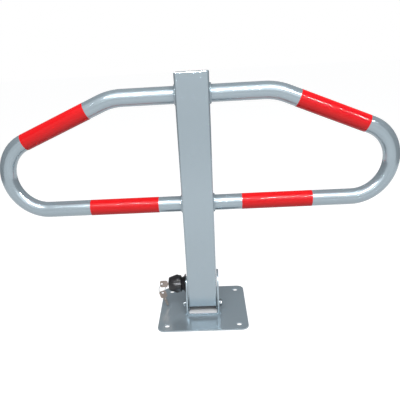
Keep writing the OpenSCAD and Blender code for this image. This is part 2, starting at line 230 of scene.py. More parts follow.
class BarrierWingSizes(bpy.types.PropertyGroup):
    half_width: length("Half width", "From the middle to the end of a wing", 0.5)
    tube_radius: length("Tube radius", "Outside radius of the wing tubes", 0.02)
    upper_z: length("Upper height", "Height of the upper tubes at the post", 0.579)
    lower_z: length("Lower height", "Height of the lower tubes", 0.315)
    bend_radius: length("Bend radius", "Centreline radius of the big bend", 0.09)
    knee_radius: length("Knee radius", "Centreline radius of the knee", 0.145)
    knee_x: length("Knee distance", "From the middle to the knee's corner", 0.195)
    post_half: length("Post half width", "From the middle to the post's side", 0.04)
    sides: IntProperty(name="Sides", description="Faces round a tube", default=64, min=12)
    step: length("Step", "Distance between the rings of a tube", 0.004)


class BarrierTapeSizes(bpy.types.PropertyGroup):
    thickness: length("Thickness", "Thickness of the reflective tape", 0.0003)
    overlap: number("Overlap", "Angle over which the tape's ends overlap", 0.55, subtype="ANGLE")
    cell: length("Cell", "Width of a cell of the film's honeycomb", 0.0036)


class BarrierWeldSizes(bpy.types.PropertyGroup):
    tube_bead: length("Tube bead", "Radius of the weld bead round a tube", 0.0026)
    foot_bead: length("Foot bead", "Radius of the weld beads beside the bracket", 0.0030)
    ripple_pitch: length("Ripple pitch", "Distance between the ripples of a bead", 0.0032)
    ripple_depth: number("Ripple depth", "Height of a ripple as a share of the bead", 0.12)


class BarrierHingeSizes(bpy.types.PropertyGroup):
    edge: length("Edge", "Width of the small rounding on cut edges", 0.0005)
    thread_pitch: length("Thread pitch", "Pitch of the bolt's thread", 0.0015)
    bolt_radius: length("Bolt radius", "Radius of the hinge bolt", 0.005)


class BarrierLockSizes(bpy.types.PropertyGroup):
    axis_y: length("Axis depth", "Distance of the lock's axis behind the post's middle", 0.005)
    axis_z: length("Axis height", "Height of the lock's axis", 0.079)
    ear_face: length("Ear face", "From the middle to the outer face of the ears", 0.046)
    bore_radius: length("Collar bore", "Radius of the collar's hole round the steel guide", 0.0111)
    neck_radius: length("Neck radius", "Radius of the collar's neck at its foot", 0.02)
    neck_end: length("Neck end", "Radius of the collar's neck at its end", 0.0175)
    knob_radius: length("Knob radius", "Largest radius of the knob", 0.026)
    knob_end: length("Knob end", "Radius of the knob's outer end", 0.0195)
    lobes: IntProperty(name="Lobes", description="Finger lobes round the knob", default=6, min=3)
    moulding_edge: length("Moulding edge", "Rounding of the moulded edges", 0.0012)


class BarrierKeySizes(bpy.types.PropertyGroup):
    ring_radius: length("Ring radius", "Mean radius of the split ring", 0.012)
    ring_wire: length("Ring thickness", "Thickness of the split ring across both turns", 0.0014)
    edge: length("Edge", "Rounding of the keys' edges", 0.0002)


class BarrierColours(bpy.types.PropertyGroup):
    paint: colour("Paint", "Silver-grey enamel on post, wings and foot", (0.352, 0.430, 0.480))
    zinc: colour("Zinc", "Bright zinc on the fasteners", (0.28, 0.31, 0.33))
    nickel: colour("Nickel", "Keys and lock face", (0.31, 0.27, 0.25))
    tape: colour("Tape", "Red reflective film", (0.90, 0.006, 0.011))
    plastic: colour("Plastic", "Moulded knob and collar", (0.012, 0.012, 0.014))
    pad: colour("Pad", "Slide pad under the post", (0.95, 0.96, 0.97))
    ground: colour("Ground", "Floor", (0.33, 0.33, 0.33))


class BarrierStageSizes(bpy.types.PropertyGroup):
    camera_place: FloatVectorProperty(
        name="Camera place", description="Where the camera stands",
        default=(0.0349, -1.1058, 0.6519), subtype="TRANSLATION", unit="LENGTH",
    )
    pitch: number("Pitch", "How far the camera looks down", 0.4433, subtype="ANGLE")
    yaw: number("Yaw", "How far the camera turns left", 0.0508, subtype="ANGLE")
    roll: number("Roll", "How far the camera leans", -0.0590, subtype="ANGLE")
    focal: number("Focal length", "Of a 36 mm wide picture, in mm", 39.60)
    shift_x: number("Shift across", "Share of the picture's width", 0.0155)
    shift_y: number("Shift up", "Share of the picture's width", 0.1718)
    key_power: number("Key power", "Of the soft box in front and above", 20.0, unit="POWER")
    strip_power: number("Strip power", "Of the narrow light in the soft box", 13.0, unit="POWER")
    top_power: number("Top power", "Of the light overhead", 9.0, unit="POWER")
    fill: number("Fill", "Strength of the light from all round", 0.3)
    floor_glow: number("Floor glow", "White that the picture adds to the floor", 0.895)
    card_shade: number("Card shade", "Grey that the cards show in reflections", 0.3)
    line_glow: number("Line glow", "Of the thin line that the tape's gloss shows", 200.0)


# Meshes


def settings():
    return bpy.context.scene.barrier


def mesh_object(name, verts, faces):
    mesh = bpy.data.meshes.new(name)
    mesh.from_pydata([tuple(v) for v in verts], [], faces)
    mesh.validate()
    piece = bpy.data.objects.new(name, mesh)
    bpy.context.scene.collection.objects.link(piece)
    return piece


def smooth(piece, degrees=35):
    mesh = piece.data
    mesh.polygons.foreach_set("use_smooth", [True] * len(mesh.polygons))
    mesh.set_sharp_from_angle(angle=math.radians(degrees))


def dress(piece, material, body, slot, *nodes):
    """Gives a finished piece its material and body, and hides the CAD nodes that it stands for. The
    slot argument is not used.
    """
    piece.data.materials.clear()
    piece.data.materials.append(material)
    piece.data.update()
    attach(piece, body)
    if nodes:
        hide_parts(*nodes)
    return piece


def outward(piece):
    """Merges doubles and turns the faces of a closed mesh outwards."""
    work = bmesh.new()
    work.from_mesh(piece.data)
    bmesh.ops.remove_doubles(work, verts=work.verts, dist=MERGE_OWN)
    bmesh.ops.recalc_face_normals(work, faces=work.faces)
    work.to_mesh(piece.data)
    work.free()


def plain(piece):
    """Bakes the modifiers of a piece into a plain mesh object of the same name."""
    bpy.context.view_layer.update()
    graph = bpy.context.evaluated_depsgraph_get()
    mesh = bpy.data.meshes.new_from_object(piece.evaluated_get(graph))
    name = piece.name
    old = piece.data
    bpy.data.objects.remove(piece)
    if old.users == 0:
        bpy.data.meshes.remove(old)
    mesh.name = name
    result = bpy.data.objects.new(name, mesh)
    bpy.context.scene.collection.objects.link(result)
    return result


def copied(node, name, flat=0.0):
    """A copy of a CAD node's mesh, its points merged and its flat areas joined up to an angle."""
    piece = bpy.data.objects.new(name, frame["nodes"][node].data.copy())
    bpy.context.scene.collection.objects.link(piece)
    work = bmesh.new()
    work.from_mesh(piece.data)
    bmesh.ops.remove_doubles(work, verts=work.verts, dist=MERGE_CAD)
    if flat:
        bmesh.ops.dissolve_limit(
            work, angle_limit=math.radians(flat), verts=work.verts, edges=work.edges
        )
    work.to_mesh(piece.data)
    work.free()
    if piece.data.has_custom_normals:
        with bpy.context.temp_override(object=piece, active_object=piece):
            bpy.ops.mesh.customdata_custom_splitnormals_clear()
    return piece


def softened(node, name, width):
    """A copy of a CAD node whose sharp edges have a small rounding."""
    piece = copied(node, name, FLAT_DEGREES)
    bevel = piece.modifiers.new("Edge", "BEVEL")
    bevel.width = width
    bevel.segments = 2
    bevel.limit_method = "ANGLE"
    bevel.angle_limit = math.radians(BEVEL_DEGREES)
    bevel.use_clamp_overlap = True
    piece = plain(piece)
    smooth(piece, 32)
    return level(piece)


def level(piece):
    """Gives the large faces of a piece their own direction up to their borders, to look flat."""
    weighted = piece.modifiers.new("Level", "WEIGHTED_NORMAL")
    weighted.weight = 100
    weighted.keep_sharp = True
    return plain(piece)


def rounded(points, radius, steps=4):
    """A polyline with its inner corners turned into small arcs."""
    result = [Vector(points[0])]
    for before, corner, after in zip(points, points[1:], points[2:]):
        before, corner, after = Vector(before), Vector(corner), Vector(after)
        reach = min(radius, (corner - before).length * 0.45, (after - corner).length * 0.45)
        start = corner + (before - corner).normalized() * reach
        end = corner + (after - corner).normalized() * reach
        for i in range(steps + 1):
            t = i / steps
            result.append(start * (1 - t) ** 2 + corner * 2 * t * (1 - t) + end * t ** 2)
    result.append(Vector(points[-1]))
    return result


def loop_faces(rings, sides):
    """Faces of a closed shape whose rings of points join the last ring to the first."""
    faces = []
    for i in range(rings):
        j = (i + 1) % rings
        for k in range(sides):
            n = (k + 1) % sides
            faces.append((i * sides + k, i * sides + n, j * sides + n, j * sides + k))
    return faces


def turned(name, rings, sides, radius_at=None):
    """A closed shape turned about the lock's axis. Each ring is (distance from the ear, radius)."""
    lock = settings().lock
    verts = []
    for u, r in rings:
        for k in range(sides):
            angle = 2 * math.pi * k / sides
            reach = radius_at(u, r, angle) if radius_at else r
            verts.append((-(lock.ear_face + u), lock.axis_y + reach * math.cos(angle),
                          lock.axis_z + reach * math.sin(angle)))
    piece = mesh_object(name, verts, loop_faces(len(rings), sides))
    outward(piece)
    return piece


# Geometry Nodes


class ShapeTree(Tree):
    """A Geometry Nodes tree with named inputs, which ends in Realize Instances and Set Material."""

    def __init__(self, name, sizes):
        group = bpy.data.node_groups.new(name, "GeometryNodeTree")
        super().__init__(group)
        face = group.interface
        face.new_socket("Geometry", in_out="OUTPUT", socket_type="NodeSocketGeometry")
        face.new_socket("Geometry", in_out="INPUT", socket_type="NodeSocketGeometry")
        for size, (kind, default) in sizes.items():
            socket = face.new_socket(size, in_out="INPUT", socket_type="NodeSocket" + kind)
            if default is not None:
                socket.default_value = default
        self.inputs = self.add("NodeGroupInput")

    def path(self):
        """The piece's own edges as a curve, with points a step apart."""
        path = self.add("GeometryNodeMeshToCurve", None, {"Mesh": self.inputs["Geometry"]})["Curve"]
        return self.add("GeometryNodeResampleCurve", {"mode": "LENGTH"},
                        {"Curve": path, "Length": self.inputs["Step"]})["Curve"]

    def circle(self):
        inputs = {"Resolution": self.inputs["Sides"], "Radius": self.inputs["Radius"]}
        return self.add("GeometryNodeCurvePrimitiveCircle", {"mode": "RADIUS"}, inputs)["Curve"]

    def swept(self, path, profile, **more):
        """A smooth closed mesh: the profile carried along the path."""
        inputs = {"Curve": path, "Profile Curve": profile, "Fill Caps": True, **more}
        mesh = self.add("GeometryNodeCurveToMesh", None, inputs)["Mesh"]
        return self.add("GeometryNodeSetShadeSmooth", None, {"Geometry": mesh})["Geometry"]

    def end(self, geometry, material):
        whole = self.add("GeometryNodeRealizeInstances", None, {"Geometry": geometry})["Geometry"]
        coated = self.add("GeometryNodeSetMaterial", None,
                          {"Geometry": whole, "Material": material})
        self.add("NodeGroupOutput", None, {"Geometry": coated["Geometry"]})
        return self.tree


def grown(piece, tree, **sizes):
    """Runs a Geometry Nodes tree on a piece and returns the plain mesh object that it makes."""
    modifier = piece.modifiers.new("Shape", "NODES")
    modifier.node_group = tree
    names = {key.replace("_", " "): value for key, value in sizes.items()}
    for item in tree.interface.items_tree:
        if item.item_type == "SOCKET" and item.in_out == "INPUT" and item.name in names:
            modifier[item.identifier] = names.pop(item.name)
    if names:
        raise ValueError(f"the tree {tree.name} has no input named {sorted(names)}")
    piece.data.update()
    return plain(piece)


def path_object(name, points, closed=False):
    """A mesh of edges only, which a Geometry Nodes tree follows."""
    count = len(points)
    edges = [(i, i + 1) for i in range(count - 1)]
    if closed:
        edges.append((count - 1, 0))
    mesh = bpy.data.meshes.new(name)
    mesh.from_pydata([tuple(p) for p in points], edges, [])
    piece = bpy.data.objects.new(name, mesh)
    bpy.context.scene.collection.objects.link(piece)
    return piece


def tube_tree(material):
    """Tube along a path: a round profile swept along rings that stand a step apart."""
    tree = ShapeTree("Bent tube", {
        "Radius": ("Float", 0.02), "Sides": ("Int", 64), "Step": ("Float", 0.004)})
    return tree.end(tree.swept(tree.path(), tree.circle()), material)


def bead_tree(material):
    """Weld bead along a path: a round section that swells and shrinks with each ripple."""
    tree = ShapeTree("Weld bead", {
        "Radius": ("Float", 0.0026), "Ripple pitch": ("Float", 0.0032),
        "Ripple depth": ("Float", 0.12), "Sides": ("Int", 16), "Step": ("Float", 0.0004)})
    path = tree.path()
    along = tree.add("GeometryNodeSplineParameter")["Length"]
    wave = (along * math.pi / tree.inputs["Ripple pitch"]).sine().size()
    swell = 1.0 - tree.inputs["Ripple depth"] * (1.0 - wave)
    path = tree.add("GeometryNodeSetCurveRadius", None, {"Curve": path, "Radius": swell})["Curve"]
    return tree.end(tree.swept(path, tree.circle(), Scale=swell), material)


def coil_tree(material):
    """Coil of flat wire: a rounded bar swept along a spiral that rises by its height."""
    tree = ShapeTree("Coil", {
        "Radius": ("Float", 0.012), "Turns": ("Float", 2.0), "Height": ("Float", 0.0009),
        "Bar width": ("Float", 0.0017), "Bar height": ("Float", 0.00085),
        "Corner": ("Float", 0.0003), "Steps": ("Int", 96)})
    size = tree.inputs
    spiral = tree.add("GeometryNodeCurveSpiral", None, {
        "Resolution": size["Steps"], "Rotations": size["Turns"], "Start Radius": size["Radius"],
        "End Radius": size["Radius"], "Height": size["Height"]})["Curve"]
    tilted = tree.add("GeometryNodeSetCurveNormal", {"mode": "Z_UP"}, {"Curve": spiral})["Curve"]
    bar = tree.add("GeometryNodeCurvePrimitiveQuadrilateral", {"mode": "RECTANGLE"},
                   {"Width": size["Bar width"], "Height": size["Bar height"]})["Curve"]
    bar = tree.add("GeometryNodeFilletCurve", {"mode": "POLY"},
                   {"Curve": bar, "Count": 3, "Radius": size["Corner"]})["Curve"]
    return tree.end(tree.swept(tilted, bar), material)


# Finishes


def paint_finish():
    """Silver-grey enamel: fine orange peel, a little mottling and a slow drift of gloss."""
    paint = Finish("silver_grey_paint")
    cloud = paint.noise(7.0, 3.0)
    fleck = paint.noise(2600.0, 1.0)
    base = settings().colours.paint
    shade = paint.mixed(cloud, solid(c * 0.965 for c in base), solid(c * 1.03 for c in base))
    shade = paint.mixed(fleck * 0.10, shade, solid((0.80, 0.84, 0.87)))
    peel = paint.noise(420.0, 2.0, 0.4)
    return paint.finish(Base_Color=shade, Metallic=0.5, Roughness=0.17 + cloud * 0.05,
                        Normal=paint.bump(peel, 0.000008, 0.5), IOR=1.5)


def zinc_finish():
    """Bright zinc: small crystals and faint handling marks."""
    zinc = Finish("bright_zinc")
    base = settings().colours.zinc
    crystal = zinc.add("ShaderNodeTexVoronoi", None,
                       {"Vector": zinc.place, "Scale": 700.0})["Color"]
    grain = zinc.add("ShaderNodeSeparateColor", None, {"Color": crystal})["Red"]
    shade = zinc.mixed(grain, solid(c * 0.88 for c in base), solid(c * 1.08 for c in base))
    return zinc.finish(Base_Color=shade, Metallic=1.0, Roughness=0.26 + grain * 0.12,
                       Normal=zinc.bump(zinc.noise(900.0, 3.0), 0.00002, 0.5))


def nickel_finish():
    """Nickelled brass: fine brushing along the blade, a warmer tone where it is handled."""
    nickel = Finish("worn_nickel")
    base = settings().colours.nickel
    brushed = nickel.noise(60.0, 4.0, 0.6, nickel.stretched((4.0, 60.0, 60.0)))
    rub = nickel.noise(220.0, 3.0)
    shade = nickel.mixed(rub, solid(base), solid((base[0] * 0.88, base[1] * 0.80, base[2] * 0.74)))
    return nickel.finish(Base_Color=shade, Metallic=1.0, Roughness=0.24 + brushed * 0.16,
                         Normal=nickel.bump(brushed, 0.00001, 0.6))


def tape_finish():
    """Red reflective film: a honeycomb of sealed cells under a glossy top layer, with painted glints.
    """
    tape = Finish("red_reflective_film")
    base = settings().colours.tape
    cell = settings().tape.cell
    cells = tape.add("ShaderNodeTexVoronoi", {"feature": "DISTANCE_TO_EDGE"},
                     {"Vector": tape.place, "Scale": 1 / cell, "Randomness": 0.0})["Distance"]
    wall = 1.0 - cells.between(0.02, 0.07)
    glint = tape.noise(3200.0, 1.0)
    # Painted glints: the glint noise makes fine specks of the film a little paler and pinker; it also
    # varies the roughness.
    shade = tape.mixed(glint, solid(c * 0.97 for c in base), solid((base[0] * 1.02, 0.012, 0.016)))
    shade = tape.mixed(wall * 0.025, shade, solid((0.95, 0.06, 0.06)))
    return tape.finish(Base_Color=shade, Roughness=0.40 + glint * 0.05, Specular_IOR_Level=0.0,
                       Coat_Weight=0.44, Coat_Roughness=0.03, Normal=tape.bump(wall, 0.00001, 0.2))


def plastic_finish():
    """Black moulded plastic: fine spark-eroded grain and a few pale scuffs."""
    plastic = Finish("black_moulded_plastic")
    base = settings().colours.plastic
    grain = plastic.noise(1500.0, 2.0, 0.6)
    scuff = plastic.noise(90.0, 5.0, 0.7).between(0.64, 0.74)
    shade = plastic.mixed(scuff * 0.35, solid(base), solid((0.06, 0.06, 0.065)))
    return plastic.finish(Base_Color=shade, Roughness=0.32 + grain * 0.12 + scuff * 0.1,
                          Normal=plastic.bump(grain, 0.00003, 0.6))


def pad_finish():
    """White slide pad: smooth extruded sheet with faint rubbing marks along its depth."""
    pad = Finish("white_slide_sheet")
    rubbed = pad.noise(90.0, 4.0, 0.6, pad.stretched((6.0, 0.6, 1.0)))
    base = settings().colours.pad
    shade = pad.mixed(rubbed, solid(c * 0.985 for c in base), solid(base))
    return pad.finish(Base_Color=shade, Roughness=0.30 + rubbed * 0.1,
                      Normal=pad.bump(pad.noise(1200.0), 0.00001, 0.5))


FINISHES = {}


def finish(slot):
    """The material of a record slot, made once."""
    makers = {"grey_paint": paint_finish, "zinc": zinc_finish, "nickel": nickel_finish,
              "red_tape": tape_finish, "black_plastic": plastic_finish, "white_plastic": pad_finish}
    if slot not in FINISHES:
        FINISHES[slot] = makers[slot]()
    return FINISHES[slot]


# Wings


def wing_path():
    """Centreline of the right wing: straight, knee, slope down to the big bend, straight."""
    wing = settings().wing
    bend = Vector((wing.half_width - wing.tube_radius - wing.bend_radius, 0,
                   wing.lower_z + wing.bend_radius))
    knee = Vector((wing.knee_x, 0, wing.upper_z))
    run = bend - knee
    slope = math.atan2(-run.z, run.x) - math.asin(wing.bend_radius / run.length)
    tangent = wing.knee_radius * math.tan(slope / 2)
    inside = wing.post_half - wing.tube_radius * 0.1
    points = [Vector((inside, 0, wing.upper_z))]
    centre = Vector((wing.knee_x - tangent, 0, wing.upper_z - wing.knee_radius))
    points += arc(centre, wing.knee_radius, 0.0, slope)
    points += arc(bend, wing.bend_radius, slope, math.pi)
    points.append(Vector((inside, 0, wing.lower_z)))
    return points, slope


def arc(centre, radius, start, end):
    """Points on an arc in the wings' plane, with angles from straight up towards +X."""
    steps = max(8, int((end - start) / math.radians(2.5)))
    angles = [start + (end - start) * i / steps for i in range(steps + 1)]
    return [centre + radius * Vector((math.sin(a), 0, math.cos(a))) for a in angles]


class BARRIER_OT_wings(bpy.types.Operator):
    """Bends the two tube wings along their centreline"""

    bl_idname = "barrier.wings"
    bl_label = "Wings"

    def execute(self, context):
        wing = settings().wing
        paint = finish("grey_paint")
        tree = tube_tree(paint)
        points, _ = wing_path()
        for side, name in ((1, "right_wing"), (-1, "left_wing")):
            path = path_object(name + "_tube", [Vector((p.x * side, p.y, p.z)) for p in points])
            tube = grown(path, tree, Radius=wing.tube_radius, Sides=wing.sides, Step=wing.step)
            outward(tube)
            smooth(tube)
            dress(tube, paint, "post", "grey_paint", name)
        return {"FINISHED"}


class BARRIER_OT_tapes(bpy.types.Operator):
    """Wraps the four bands of reflective tape round the tubes"""

    bl_idname = "barrier.tapes"
    bl_label = "Reflective tape"

    def execute(self, context):
        for node in ("upper_left_tape", "upper_right_tape", "lower_left_tape", "lower_right_tape"):
            self.band(node)
        return {"FINISHED"}

    def band(self, node):
        tape = settings().tape
        low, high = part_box(node)
        _, slope = wing_path()
        side = -1 if "left" in node else 1
        angle = slope if node.startswith("upper") else 0.0
        along = Vector((side * math.cos(angle), 0, -math.sin(angle)))
        across = Vector((side * math.sin(angle), 0, math.cos(angle)))
        radius = (high.y - low.y) / 2
        middle = (low + high) / 2
        reach = ((high.x - low.x) - 2 * radius * abs(math.sin(angle))) / math.cos(angle)
        sides = 96
        seam = math.radians(60)
        edge = tape.thickness * 0.4
        step_up = tape.thickness * 0.8
        inner = radius - tape.thickness
        profile = [(0.0, inner), (0.0, radius - edge), (edge, radius), (reach - edge, radius),
                   (reach, radius - edge), (reach, inner)]
        verts = []
        for place, r in profile:
            for k in range(sides):
                turn = 2 * math.pi * k / sides
                lift = step_up if turn < tape.overlap and r > inner else 0.0
                turn += seam
                out = Vector((0, 1, 0)) * math.cos(turn) - across * math.sin(turn)
                verts.append(middle + along * (place - reach / 2) + out * (r + lift))
        piece = mesh_object(node + "_film", verts, loop_faces(len(profile), sides))
        outward(piece)
        smooth(piece, 30)
        dress(piece, finish("red_tape"), "post", "red_tape", node)


# Post and welds


class BARRIER_OT_post(bpy.types.Operator):
    """Paints the post and rounds the edges of its cap"""

    bl_idname = "barrier.post"
    bl_label = "Post"

    def execute(self, context):
        paint = finish("grey_paint")
        for node in ("post", "post_cap"):
            piece = softened(node, node + "_painted", settings().hinge.edge)
            dress(piece, paint, "post", "grey_paint", node)
        keep("pivot_sleeve", "zinc")
        return {"FINISHED"}


def keep(node, slot):
    """Gives a CAD node, whose own shape stays, its finish."""
    mesh = frame["nodes"][node].data
    mesh.materials.clear()
    mesh.materials.append(finish(slot))


class BARRIER_OT_welds(bpy.types.Operator):
    """Lays rippled weld beads round the tube ends and beside the bracket"""

    bl_idname = "barrier.welds"
    bl_label = "Welds"

    def execute(self, context):
        wing, weld = settings().wing, settings().weld
        paint = finish("grey_paint")
        tree = bead_tree(paint)
        out = weld.tube_bead * 0.5
        steps, foot_steps = 64, 20
        for side, side_name in ((1, "right"), (-1, "left")):
            for z, z_name in ((wing.upper_z, "upper"), (wing.lower_z, "lower")):
                points = []
                for k in range(steps):
                    turn = 2 * math.pi * k / steps
                    r = wing.tube_radius + out
                    points.append((side * (wing.post_half + out),
                                   r * math.cos(turn), z + r * math.sin(turn)))
                path = path_object(f"{z_name}_{side_name}_weld_bead", points, closed=True)
                self.lay(path, tree, weld.tube_bead, "post", "wing_welds")
        low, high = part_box("bracket_welds")
        inset = weld.foot_bead
        raised = inset * 0.45
        for side, side_name in ((1, "right"), (-1, "left")):
            x = side * (settings().lock.ear_face + raised)
            run = high.y - low.y - 2 * inset
            points = [(x, low.y + inset + run * i / foot_steps, low.z + raised)
                      for i in range(foot_steps + 1)]
            path = path_object(f"{side_name}_foot_weld_bead", points)
            self.lay(path, tree, weld.foot_bead, "base", None)
        keep("bracket_welds", "grey_paint")
        return {"FINISHED"}

    def lay(self, path, tree, radius, body, node):
        weld = settings().weld
        bead = grown(path, tree, Radius=radius, Ripple_pitch=weld.ripple_pitch,
                     Ripple_depth=weld.ripple_depth)
        outward(bead)
        smooth(bead, 60)
        dress(bead, finish("grey_paint"), body, "grey_paint", *([node] if node else []))


# Foot and hinge


class BARRIER_OT_foot(bpy.types.Operator):
    """Rounds the cut edges of the base plate and the bent bracket"""

    bl_idname = "barrier.foot"
    bl_label = "Foot"

    def execute(self, context):
        paint = finish("grey_paint")
        for node in ("base_plate", "hinge_bracket"):
            piece = softened(node, node + "_painted", settings().hinge.edge)
            dress(piece, paint, "base", "grey_paint", node)
        keep("slide_pad", "white_plastic")
        return {"FINISHED"}


class BARRIER_OT_hinge(bpy.types.Operator):
    """Finishes the hinge bolt, its nut and washers, and cuts the bolt's thread"""

    bl_idname = "barrier.hinge"
    bl_label = "Hinge"

    def execute(self, context):
        hinge = settings().hinge
        for node in ("hinge_bolt", "hinge_nut", "hinge_washers"):
            piece = softened(node, node + "_plated", hinge.edge * 0.6)
            dress(piece, finish("zinc"), "base", "zinc", node)
        keep("spacer_washers", "black_plastic")
        low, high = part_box("hinge_bolt")
        tree = coil_tree(finish("zinc"))
        turns = 2.0
        seed = path_object("hinge_bolt_thread", [(0, 0, 0), (0, 0, MM)])
        thread = grown(seed, tree, Radius=hinge.bolt_radius, Turns=turns,
                       Height=turns * hinge.thread_pitch * 0.8, Bar_width=0.0008, Bar_height=0.0010,
                       Corner=0.00025, Steps=64)
        middle = (low + high) / 2
        quarter = Matrix.Rotation(math.pi / 2, 4, "Y")
        place = Matrix.Translation((low.x + 0.0002, middle.y, middle.z)) @ quarter
        thread.data.transform(place)
        outward(thread)
        smooth(thread)
        dress(thread, finish("zinc"), "base", "zinc")
        return {"FINISHED"}


# Lock


# The knob's valleys: radius as a share of the knob's, how far out their centres stand as a
# share of their own radius, and the width in metres of the rounding at their borders
VALLEY_SHARE, VALLEY_OUT, VALLEY_BLEND = 0.32, 0.62, 0.0011


class BARRIER_OT_lock(bpy.types.Operator):
    """Moulds the collar and the lobed knob, and finishes the metal of the lock"""

    bl_idname = "barrier.lock"
    bl_label = "Lock"

    def execute(self, context):
        lock = settings().lock
        edge = lock.moulding_edge
        low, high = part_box("lock_flange")
        outer = (high.z - low.z) / 2
        depth = high.x - low.x
        bore, neck = lock.bore_radius, lock.neck_radius
        # Each point is (distance from the ear, radius)
        outline = [(0, bore), (0, outer), (0.0015, outer), (0.0055, neck + 0.001), (0.0067, neck),
                   (depth - 0.001, lock.neck_end), (depth, lock.neck_end - 0.001), (depth, bore)]
        rings = rounded([(u, r, 0) for u, r in outline], edge)
        collar = turned("lock_collar", [(p.x, p.y) for p in rings], 128)
        smooth(collar, 40)
        dress(collar, finish("black_plastic"), "base", "black_plastic", "lock_flange")
        self.knob(lock, edge)
        for node in ("lock_guide", "retaining_ring", "lock_pin"):
            keep(node, "zinc")
        self.spring(lock)
        cylinder = softened("lock_cylinder", "lock_cylinder_plated", 0.0004)
        dress(cylinder, finish("nickel"), "lock", "nickel", "lock_cylinder")
        plug = softened("cylinder_plug", "cylinder_plug_plated", 0.0002)
        dress(plug, finish("nickel"), frame_body("cylinder_plug"), "nickel", "cylinder_plug")
        return {"FINISHED"}

    def spring(self, lock):
        """Copies and finishes the spring on the base body. The share by which the knob's push would
        shorten it is worked out but not used.
        """
        low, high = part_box("lock_spring")
        spring = copied("lock_spring", "lock_spring_plated")
        smooth(spring, 50)
        dress(spring, finish("zinc"), "base", "zinc", "lock_spring")
        joints = frame["record"]["behaviour"]["joints"]
        travel = next(joint["range_m"][1] for joint in joints if joint["name"] == "lock_push")
        1 - travel / (high.x - low.x)
        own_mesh(spring)

    def knob(self, lock, edge):
        low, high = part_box("lock_knob")
        start = -high.x - lock.ear_face
        end = -low.x - lock.ear_face
        hub = start + 0.012
        full, tip = lock.knob_radius, lock.knob_end
        shoulder = start + 0.010
        lip = lock.neck_radius + 0.0027
        bore, lip_bore, pin = 0.01005, lock.neck_radius + 0.0008, 0.00605
        # Each point is (distance from the ear, radius), first outside, then back through the bore
        outline = [(start, lip_bore), (start, lip), (start + 0.002, lip + 0.0012),
                   (shoulder - 0.0015, full - 0.001), (shoulder, full), (shoulder + 0.005, full),
                   (shoulder + 0.008, full - 0.0012), (end - 0.003, tip),
                   (end - 0.0009, tip - 0.0009), (end, tip - 0.003), (end, bore)]
        inner = [(hub + 0.003, bore), (hub + 0.003, pin), (hub, pin), (hub, lip_bore)]
        smooth_outline = rounded([(u, r, 0) for u, r in outline], edge)
        finest = 0.0012
        rings = [(p.x, p.y) for p in refined(smooth_outline, finest)] + inner
        valley_radius = full * VALLEY_SHARE
        centre = full + valley_radius * VALLEY_OUT

        def lobed(u, r, angle):
            if r < lip_bore + 0.0001:
                return r
            step = 2 * math.pi / lock.lobes
            off = (angle % step) - step / 2
            across = centre * math.sin(off)
            if abs(across) >= valley_radius:
                return r
            wall = centre * math.cos(off) - math.sqrt(valley_radius ** 2 - across ** 2)
            return softest(r, wall, VALLEY_BLEND)

        knob = turned("lock_knob_moulded", rings, 240, lobed)
        smooth(knob, 50)
        dress(knob, finish("black_plastic"), "lock", "black_plastic", "lock_knob")


def softest(first, second, blend):
    """The smaller of two radii, with a rounded change from one to the other."""
    mix = max(0.0, blend - abs(first - second)) / blend
    return min(first, second) - mix * mix * blend / 4


def refined(points, step):
    """The same polyline with points no more than a step apart."""
    result = [points[0]]
    for start, end in zip(points, points[1:]):
        parts = max(1, math.ceil((end - start).length / step))
        result += [start.lerp(end, i / parts) for i in range(1, parts + 1)]
    return result


def frame_body(node):
    """The body that a CAD node rides on."""
    for body, members in frame["record"]["behaviour"]["bodies"].items():
        if node in members:
            return body
    raise ValueError(f"no body holds {node}")


class BARRIER_OT_keys(bpy.types.Operator):
    """Finishes the two keys and winds the split ring"""

    bl_idname = "barrier.keys"
    bl_label = "Keys"

    def execute(self, context):
        sizes = settings().key
        for node in ("key", "spare_key"):
            piece = softened(node, node + "_plated", sizes.edge)
            dress(piece, finish("nickel"), frame_body(node), "nickel", node)
        low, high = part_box("key_ring")
        middle = (low + high) / 2
        tree = coil_tree(finish("nickel"))
        seed = path_object("split_ring", [(0, 0, 0), (0, 0, MM)])
        half = sizes.ring_wire / 2
        ring = grown(seed, tree, Radius=sizes.ring_radius, Turns=1.9, Height=half,
                     Bar_width=sizes.ring_wire * 0.94, Bar_height=half * 0.94,
                     Corner=0.00022, Steps=192)
        across = Vector((high.x - low.x, high.y - low.y, 0))
        turn = math.atan2(across.y, across.x)
        place = (Matrix.Translation(middle) @ Matrix.Rotation(turn, 4, "Z")
                 @ Matrix.Rotation(math.pi / 2, 4, "X") @ Matrix.Translation((0, 0, -half / 2)))
        ring.data.transform(place)
        outward(ring)
        smooth(ring, 40)
        dress(ring, finish("zinc"), frame_body("key_ring"), "zinc", "key_ring")
        return {"FINISHED"}


# Stage


